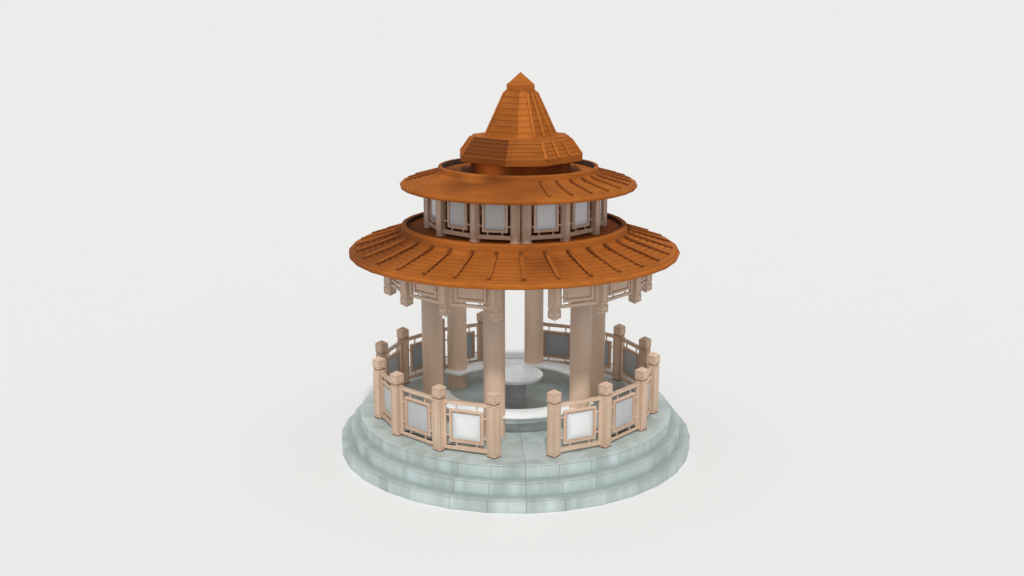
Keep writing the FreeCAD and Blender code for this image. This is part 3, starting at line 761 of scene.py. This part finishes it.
def table():
    """Round top with a rounded rim, on a round foot."""
    low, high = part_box("table_top")
    radius = high.x
    section = rounded_section(0.0, radius, low.z, high.z, TABLE_EDGE, TABLE_EDGE_STEPS)
    rim = [(r, z) for r, z in section if r > radius - TABLE_RIM]
    mesh = bmesh.new()
    rings(mesh, [(0.0, low.z)] + rim + [(0.0, high.z)], TABLE_FACETS, closed=False)
    bmesh.ops.remove_doubles(mesh, verts=mesh.verts, dist=FINE_WELD)
    grey = white_marble("table_marble", TABLE_GREY, 0.25)
    piece("round_table_top", mesh, [grey], ["table_top"], SMOOTH_ROUND)
    low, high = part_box("table_pedestal")
    mesh = bmesh.new()
    rings(mesh, [(high.x, low.z), (high.x, high.z)], ROUND_FACETS, closed=False)
    piece("round_pedestal", mesh, [granite()], ["table_pedestal"],
          SMOOTH_ROUND)


shaft_stone = column_stone()
for k in range(COLUMNS):
    column("column_%d" % (k + 1), shaft_stone)
bench()
table()

# Square posts with incised lines. The areas sort their faces into shafts, caps and necks.

POST_EDGE = 0.004
SHAFT_BORDER = 0.020
POST_CAP_BORDER = 0.024
PENDANT_CAP_BORDER = 0.022
STOREY_BORDER = 0.016
LINE_WIDTH = 0.0035
LINE_DEPTH = 0.004
NECK_BORDER = 0.002
NECK_LINE = 0.007
NECK_DEPTH = 0.002
SHAFT_AREA = 0.035
CAP_AREA = 0.012
NECK_AREA = 0.003
UPRIGHT = 0.05


def incise(mesh, faces, border, width, depth):
    """A thin groove that follows each face's outline, some way in from its edges. Its faces
    take the painted shade.
    """
    bmesh.ops.inset_individual(mesh, faces=faces, thickness=border, depth=0.0)
    for step in (-depth, depth):
        made = bmesh.ops.inset_individual(mesh, faces=faces, thickness=width, depth=step)
        for face in made["faces"]:
            face.material_index = 1


def upright(face):
    return abs(face.normal.z) < UPRIGHT


def posts(node, name, materials, tall_border, cap_border):
    """cap_border is None where the post has no cap to incise."""
    mesh = from_node(node)
    ease(mesh, sharp_edges(mesh), POST_EDGE)
    mesh.faces.ensure_lookup_table()
    sides = [face for face in mesh.faces if upright(face)]
    tall = [face for face in sides if face.calc_area() > SHAFT_AREA]
    caps = [face for face in sides if CAP_AREA < face.calc_area() <= SHAFT_AREA]
    necks = [face for face in sides if NECK_AREA < face.calc_area() <= CAP_AREA]
    incise(mesh, tall, tall_border, LINE_WIDTH, LINE_DEPTH)
    # Painted shadow lines round each neck face, close to its edges
    incise(mesh, necks, NECK_BORDER, NECK_LINE, NECK_DEPTH)
    if cap_border is not None:
        incise(mesh, caps, cap_border, LINE_WIDTH, LINE_DEPTH)
    piece(name, mesh, materials, [node])


warm = warm_stone()
lined = [warm, joint_fill("incised_line", GROOVE_SHADE)]
for side in ("left", "right"):
    posts("balustrade_posts_" + side, "posts_" + side, lined, SHAFT_BORDER, POST_CAP_BORDER)
    posts("frieze_posts_" + side, "pendants_" + side, lined, SHAFT_BORDER, PENDANT_CAP_BORDER)
posts("storey_posts", "upper_posts", lined, STOREY_BORDER, None)

# Frames, and the panes that they hold

FRAME_EDGE = 0.003
# Width and lift of the painted shade lines
SHADE_LINE_WIDTH = 0.005
SHADE_LINE_LIFT = 0.0012
SAME_CORNER = 0.0005
PANE_STEPS = 10
LOWER_SWELL = 0.012
UPPER_SWELL = 0.010
FRIEZE_SWELL = 0.006
BEAD = 0.019
BEAD_OUT = 0.014
MEMBER_OUT = 0.020
PANE_SINK = 0.4


def dressed(node, name, materials, edge, segments=2):
    """A node with rounded edges."""
    mesh = from_node(node)
    ease(mesh, sharp_edges(mesh), edge, segments)
    piece(name, mesh, materials, [node])


class Pane:
    """Place and size of one flat upright infill, read from the frame."""

    def __init__(self, points):
        self.low = min(p.z for p in points)
        self.high = max(p.z for p in points)
        plan = []
        for p in points:
            if all((p.xy - q).length > SAME_CORNER for q in plan):
                plan.append(p.xy.copy())
        first = plan[0]
        others = sorted(plan[1:], key=lambda q: (q - first).length)
        across = others[1] - first
        centre = sum(plan, Vector((0.0, 0.0))) / len(plan)
        self.centre = Vector((centre.x, centre.y, (self.low + self.high) / 2))
        self.out = Vector((across.y, -across.x, 0.0)).normalized()
        if self.out.xy.dot(centre) < 0.0:
            self.out = -self.out
        self.along = Vector((-self.out.y, self.out.x, 0.0))
        self.half_width = across.length / 2
        self.half_height = (self.high - self.low) / 2
        self.half_depth = (others[0] - first).length / 2

    def point(self, along, up, out):
        return self.centre + self.along * along + Vector((0.0, 0.0, up)) + self.out * out


def pillow(mesh, layer, pane, crown, steps=PANE_STEPS):
    """Both faces of a pane, swelling from its edges to the middle."""
    for face_side in (1.0, -1.0):
        grid = []
        for i in range(steps + 1):
            row = []
            for j in range(steps + 1):
                u, v = 2.0 * i / steps - 1.0, 2.0 * j / steps - 1.0
                u, v = math.sin(u * math.pi / 2), math.sin(v * math.pi / 2)
                swell = crown * (1.0 - u ** 4) * (1.0 - v ** 4)
                out = face_side * (pane.half_depth - crown * PANE_SINK + swell)
                vert = mesh.verts.new(pane.point(u * pane.half_width,
                                                 v * pane.half_height, out))
                row.append((vert, ((u + 1.0) / 2, (v + 1.0) / 2)))
            grid.append(row)
        for i in range(steps):
            for j in range(steps):
                corners = [grid[i][j], grid[i + 1][j], grid[i + 1][j + 1], grid[i][j + 1]]
                if face_side > 0:
                    corners.reverse()
                face = mesh.faces.new([corner[0] for corner in corners])
                for loop, corner in zip(face.loops, corners):
                    loop[layer].uv = corner[1]


def shade_ring(mesh, pane, border, out):
    """Painted shade: a thin raised dark line on both sides, some way outside a pane."""
    half_width = pane.half_width + border + SHADE_LINE_WIDTH
    half_height = pane.half_height + border + SHADE_LINE_WIDTH
    for side in (1.0, -1.0):
        inner_w, inner_h = half_width - SHADE_LINE_WIDTH, half_height - SHADE_LINE_WIDTH
        corners = ((-1, -1), (1, -1), (1, 1), (-1, 1))
        outer = [pane.point(a * half_width, b * half_height, side * out) for a, b in corners]
        inner = [pane.point(a * inner_w, b * inner_h, side * out) for a, b in corners]
        lift = pane.out * side * SHADE_LINE_LIFT
        rows = []
        for group in (outer, inner):
            rows.append([mesh.verts.new(p) for p in group])
            rows.append([mesh.verts.new(p + lift) for p in group])
        outer_low, outer_top, inner_low, inner_top = rows
        for i in range(4):
            j = (i + 1) % 4
            mesh.faces.new((outer_top[i], outer_top[j], inner_top[j], inner_top[i]))
            mesh.faces.new((outer_low[i], outer_low[j], outer_top[j], outer_top[i]))
            mesh.faces.new((inner_top[i], inner_top[j], inner_low[j], inner_low[i]))


def panes(node, name, material, crown):
    """Dressed infills of one node; returns their places."""
    mesh = bmesh.new()
    layer = mesh.loops.layers.uv.new("across")
    found = [Pane(points) for points in solids(node)]
    for pane in found:
        pillow(mesh, layer, pane, crown)
    piece(name, mesh, [material], [node], SMOOTH_PANE)
    return found


def frame_lines(beaded, plain):
    """Painted shade lines in the creases: a line round each pane, and a second one outside
    the beads.
    """
    mesh = bmesh.new()
    for pane in beaded:
        shade_ring(mesh, pane, 0.0, BEAD_OUT)
        shade_ring(mesh, pane, BEAD, MEMBER_OUT)
    for pane in plain:
        shade_ring(mesh, pane, 0.0, MEMBER_OUT)
    crease_fill = joint_fill("crease_shade_line", CREASE_SHADE)
    piece("frame_lines", mesh, [crease_fill])


for side in ("left", "right"):
    dressed("balustrade_frames_" + side, "rails_" + side, [warm], FRAME_EDGE)
    dressed("frieze_frames_" + side, "hanging_frames_" + side, [warm], FRAME_EDGE)
dressed("storey_frames", "upper_frames", [warm], FRAME_EDGE)

white_pane = pane_stone("white_pane", PANE_WHITE, PANE_HIGHLIGHT, lower_shade)
grey_pane = pane_stone("grey_pane", UPPER_WHITE, UPPER_HIGHLIGHT, upper_shade)
lower_panes = panes("balustrade_infills", "balustrade_panes", white_pane, LOWER_SWELL)
upper_panes = panes("storey_infills", "upper_panes", grey_pane, UPPER_SWELL)
frieze_panes = panes("frieze_infills", "frieze_panels", warm, FRIEZE_SWELL)

frame_lines(lower_panes, upper_panes + frieze_panes)

# Round roofs. Belly, lean and top are shares of the eave's height.

COURSES = 8
COURSE_LAP = 0.02
NOSES = {"lower_roof": 0.011, "upper_roof": 0.007}
NOSE_EDGE = 0.003
EDGE_TONES = {"lower_roof": TILE_WARM, "upper_roof": TILE}
BELLY_SHARE = 0.24
BELLY_TURN = 165.0
BELLY_RISE = 1.02
EAVE_LEAN = 0.21
EAVE_LEAN_FROM = 0.66
EAVE_TOP_SHARE = 0.45
COVE = 0.055
LEDGE_SHARE = 0.2
INNER_EDGE = 0.4
DECK_LAP = 0.02
RIB_EDGE = 0.004
RIB_SIDE_SLANT = 0.2
DASH_START = 0.45
DASH_SINK = 0.002
DASH_RISE = 0.006
DASH_PROUD = 0.0015

# Collar section: the cove as (share out, share of the slope down, lift), the top as
# (share of the ledge in, share of it down)

COVE_CURVE = ((1.0, 1.0, 0.002), (0.45, 0.45, 0.012), (0.12, 0.0, 0.022), (0.0, 0.0, 0.050))
TOP_CURVE = ((0.0, 2.0), (0.12, 1.2), (0.5, 0.35), (1.0, 0.0))

# Painted shadow for the collar's inside wall and the gaps under the ribs
shadow_fill = joint_fill("roof_shadow_gap", SHADOW_DARK)
# Painted shade on the ribs' upright sides
rib_side_shade = tile("rib_side_shade", "none", None, TILE_DARK)


def bullnose(radius, low, height, band, steps=8):
    """Section of the rounded eave, from the underside round to its top."""
    points = [(radius - band, low)]
    belly = height * BELLY_SHARE
    for i in range(steps + 1):
        angle = math.radians(-90.0 + BELLY_TURN * i / steps)
        rise = (math.sin(angle) + 1.0) / 2.0
        lean = max(0.0, rise - EAVE_LEAN_FROM) / (1.0 - EAVE_LEAN_FROM)
        points.append((radius - belly + belly * math.cos(angle) - height * EAVE_LEAN * lean,
                       low + height * min(1.0, rise * BELLY_RISE)))
    points.append((radius - height * EAVE_TOP_SHARE, low + height))
    return points


def round_box(node):
    """Centre x, radius, foot and top of a round node."""
    low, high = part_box(node)
    return (low.x + high.x) / 2, (high.x - low.x) / 2, low.z, high.z


class Roof:
    """One round roof, with its sizes read from the frame."""

    def __init__(self, prefix):
        self.prefix = prefix
        self.nose = NOSES[prefix]
        self.shift, self.edge, self.eave_foot, self.eave_top = round_box(prefix + "_eave")
        self.band = self.edge - round_box(prefix + "_soffit")[1]
        self.start, self.foot, self.head = round_box(prefix + "_skirt")[1:]
        self.end, _, self.collar_top = round_box(prefix + "_collar")[1:]
        self.inner, _, self.deck_top = round_box(prefix + "_deck")[1:]
        self.run = (self.start - self.end) / COURSES
        self.rise = (self.head - self.foot) / COURSES
        self.axis = Vector((self.shift, 0.0))
        self.plain = tile(prefix + "_plain", prefix)

    def add(self, name, mesh, materials, node=None, smooth=None):
        nodes = [self.prefix + node] if node else []
        piece(self.prefix + name, mesh, materials, nodes, smooth)

    def eave(self):
        section = bullnose(self.edge, self.eave_foot, self.eave_top - self.eave_foot,
                           self.band)
        mesh = bmesh.new()
        rings(mesh, section, FACETS, self.shift, closed=False)
        material = tile(self.prefix + "_edge", self.prefix, None, EDGE_TONES[self.prefix])
        self.add("_round_eave", mesh, [material], "_eave", SMOOTH_EAVE)

    def courses(self):
        profile = [(self.start - COURSE_LAP, self.foot)]
        for k in range(COURSES):
            reach = self.start - self.run * k
            height = self.foot + self.rise * k
            profile.append((reach, height))
            profile.append((reach, height + self.nose - NOSE_EDGE))
            profile.append((reach - NOSE_EDGE, height + self.nose))
        profile.append((self.end, self.head))
        mesh = bmesh.new()
        rings(mesh, profile, FACETS, self.shift, closed=False)
        steps = ("radius", self.shift, self.start, self.run)
        material = tile(self.prefix + "_tile", self.prefix, steps)
        self.add("_courses", mesh, [material], "_skirt", SMOOTH_COURSES)

    def collar(self):
        """Upright collar with a cove at its foot and painted shade on the wall inside."""
        ledge = (self.end - self.inner) * LEDGE_SHARE
        slope = self.rise / self.run
        end, inner, head, top = self.end, self.inner, self.head, self.collar_top
        outside = [(end + COVE * out, head - slope * COVE * down + lift)
                   for out, down, lift in COVE_CURVE]
        outside += [(end - ledge * back, top - ledge * down) for back, down in TOP_CURVE]
        lip = (inner, top - ledge * INNER_EDGE)
        outside += [(inner + ledge * INNER_EDGE, top), lip]
        inside = [lip, (inner, self.deck_top - DECK_LAP)]
        mesh = bmesh.new()
        rings(mesh, outside, FACETS, self.shift, closed=False)
        rings(mesh, inside, FACETS, self.shift, mark=1, closed=False)
        bmesh.ops.remove_doubles(mesh, verts=mesh.verts, dist=FINE_WELD)
        self.add("_round_collar", mesh, [self.plain, shadow_fill], "_collar", SMOOTH_COLLAR)

    def flats(self):
        """The deck and the soffit keep their mesh and get the roof's plain tile."""
        for node in ("_deck", "_soffit"):
            materials = NODES[self.prefix + node].data.materials
            materials.clear()
            materials.append(self.plain)

    def ribs(self):
        found = solids(self.prefix + "_ribs")
        foot = max((p.xy - self.axis).length for points in found for p in points)
        material = rib_tile(self.prefix + "_rib", self.shift, foot, self.end)
        mesh = from_node(self.prefix + "_ribs")
        # Upright sides take the painted shade
        for face in mesh.faces:
            if abs(face.normal.z) < RIB_SIDE_SLANT:
                face.material_index = 1
        ease(mesh, sharp_edges(mesh), RIB_EDGE)
        self.add("_round_ribs", mesh, [material, rib_side_shade], "_ribs")
        mesh = bmesh.new()
        for points in found:
            self.gaps(mesh, points, foot)
        self.add("_rib_gaps", mesh, [shadow_fill])

    def gaps(self, mesh, points, foot):
        """Painted shadow: dark wedges under one rib, where it bridges the courses."""
        flat = [p.xy - self.axis for p in points]
        along = (sum(flat, Vector((0.0, 0.0))) / len(flat)).normalized()
        side = Vector((-along.y, along.x))
        half = max(abs(p.dot(side)) for p in flat) + DASH_PROUD
        for k in range(COURSES - 1):
            far = self.start - self.run * (k + DASH_START)
            near = self.start - self.run * (k + 1)
            if far > foot - COURSE_LAP:
                continue
            height = self.foot + self.rise * (k + 1)
            corners = ((far, height - self.rise * (1.0 - DASH_START)),
                       (near, height - DASH_SINK), (near, height + self.nose + DASH_RISE))
            rows = []
            for way in (-half, half):
                rows.append([mesh.verts.new((*(self.axis + along * r + side * way), z))
                             for r, z in corners])
            mesh.faces.new(rows[0])
            mesh.faces.new(list(reversed(rows[1])))
            for i in range(3):
                j = (i + 1) % 3
                mesh.faces.new((rows[0][i], rows[0][j], rows[1][j], rows[1][i]))


for prefix in NOSES:
    roof = Roof(prefix)
    roof.eave()
    roof.courses()
    roof.collar()
    roof.flats()
    roof.ribs()

# Spire. Its coursed parts, as (node, piece, number of courses)

SPIRE_STEPS = (("spire_tier", "tier_courses", 5), ("spire_peak", "peak_courses", 8))
STEP_EDGE = 0.002
TIER_EDGE = 0.006
CAP_EDGE = 0.004
SPIRE_RIB_EDGE = 0.003


def neck():
    """Round drum between the upper deck and the spire, in dark tile as painted shade, with a
    painted pool of light on its left front.
    """
    centre, radius, foot, top = round_box("spire_neck")
    mesh = bmesh.new()
    rings(mesh, [(radius, foot), (radius, top)], ROUND_FACETS, centre, closed=False)
    # Painted shade: the dark tile
    material = tile("neck", "none", None, TILE_DARK)
    piece("round_neck", mesh, [material], ["spire_neck"], SMOOTH_ROUND)


def spire():
    """Coursed tier and peak, the tier's eave, the cap and the ribs."""
    for node, name, courses in SPIRE_STEPS:
        low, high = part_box(node)
        material = tile(name, "spire", ("height", low.z, (high.z - low.z) / courses))
        dressed(node, name, [material], STEP_EDGE, 1)
    eave = tile("tier_eave", "spire")
    cap = tile("cap", "none", None, TILE_WARM)
    rib = tile("spire_rib", "none", None, TILE_LIGHT)
    dressed("spire_eave", "tier_eave", [eave], TIER_EDGE)
    dressed("spire_cap", "pointed_cap", [cap], CAP_EDGE)
    dressed("spire_tier_ribs", "tier_ribs", [rib], SPIRE_RIB_EDGE, 1)
    dressed("spire_peak_ribs", "peak_ribs", [rib], SPIRE_RIB_EDGE, 1)


neck()
spire()

# Pale floor and backdrop

GROUND = (0.78, 0.78, 0.77)
BACKDROP = (0.84, 0.84, 0.83)
WORLD_LIGHT = 0.48
COURT_LIGHT = 26.0
COURT_COLOUR = (0.88, 0.96, 1.0)
COURT_LIGHT_SIZE = 2.4
COURT_LIGHT_DROP = 0.05
GROUND_SIZE = 400.0
GROUND_DROP = 0.002

# Sun lamps, as (name, strength, direction, width in degrees)

SUNS = (("key", 2.15, (0.02, 0.65, -0.93), 5.0), ("fill", 0.22, (0.05, 0.92, -0.36), 35.0))


def studio():
    """Pale floor, even light from all round and a plain backdrop."""
    m = Nodes("studio_floor", 0.9)
    m.colour(GROUND)
    bpy.ops.mesh.primitive_plane_add(size=GROUND_SIZE, location=(0.0, 0.0, -GROUND_DROP))
    ground = bpy.context.object
    ground.name = "studio_floor"
    ground.data.materials.append(m.material)
    world = bpy.data.worlds.new("studio")
    world.use_nodes = True
    tree = world.node_tree
    light = tree.nodes["Background"]
    light.inputs["Color"].default_value = (1.0, 1.0, 1.0, 1.0)
    light.inputs["Strength"].default_value = WORLD_LIGHT
    seen = tree.nodes.new("ShaderNodeBackground")
    seen.inputs["Color"].default_value = (*BACKDROP, 1.0)
    seen.inputs["Strength"].default_value = 1.0
    rays = tree.nodes.new("ShaderNodeLightPath")
    shown = rays.outputs["Is Camera Ray"]
    for output in ("Is Glossy Ray", "Is Transmission Ray"):
        either = tree.nodes.new("ShaderNodeMath")
        either.operation = "MAXIMUM"
        tree.links.new(shown, either.inputs[0])
        tree.links.new(rays.outputs[output], either.inputs[1])
        shown = either.outputs[0]
    choice = tree.nodes.new("ShaderNodeMixShader")
    tree.links.new(shown, choice.inputs[0])
    tree.links.new(light.outputs[0], choice.inputs[1])
    tree.links.new(seen.outputs[0], choice.inputs[2])
    tree.links.new(choice.outputs[0], tree.nodes["World Output"].inputs["Surface"])
    bpy.context.scene.world = world


def sun(name, energy, direction, angle):
    data = bpy.data.lights.new(name, "SUN")
    data.energy = energy
    data.angle = math.radians(angle)
    item = bpy.data.objects.new(name, data)
    item.rotation_euler = Vector(direction).to_track_quat("-Z", "Y").to_euler()
    bpy.context.collection.objects.link(item)


def court_light():
    """Soft light under the soffit, which keeps the shaded court readable."""
    data = bpy.data.lights.new("court", "AREA")
    data.shape = "DISK"
    data.size = COURT_LIGHT_SIZE
    data.energy = COURT_LIGHT
    data.color = COURT_COLOUR
    item = bpy.data.objects.new("court", data)
    item.location = (0.0, 0.0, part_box("lower_roof_soffit")[0].z - COURT_LIGHT_DROP)
    item.visible_camera = False
    item.visible_glossy = False
    bpy.context.collection.objects.link(item)


studio()
for lamp in SUNS:
    sun(*lamp)
court_light()

# Camera at the photograph's viewing angle

LENS = 39.11
SENSOR = 36.0
PITCH = 13.976
TURN = -3.03
CAMERA_AT = (-1.067, -18.965, 7.552)

camera_data = bpy.data.cameras.new("camera")
camera_data.lens = LENS
camera_data.sensor_width = SENSOR
camera = bpy.data.objects.new("camera", camera_data)
camera.location = CAMERA_AT
camera.rotation_euler = Euler((math.radians(90.0 - PITCH), 0.0, math.radians(TURN)))
bpy.context.collection.objects.link(camera)
bpy.context.scene.camera = camera
bpy.context.scene.view_settings.view_transform = "Standard"
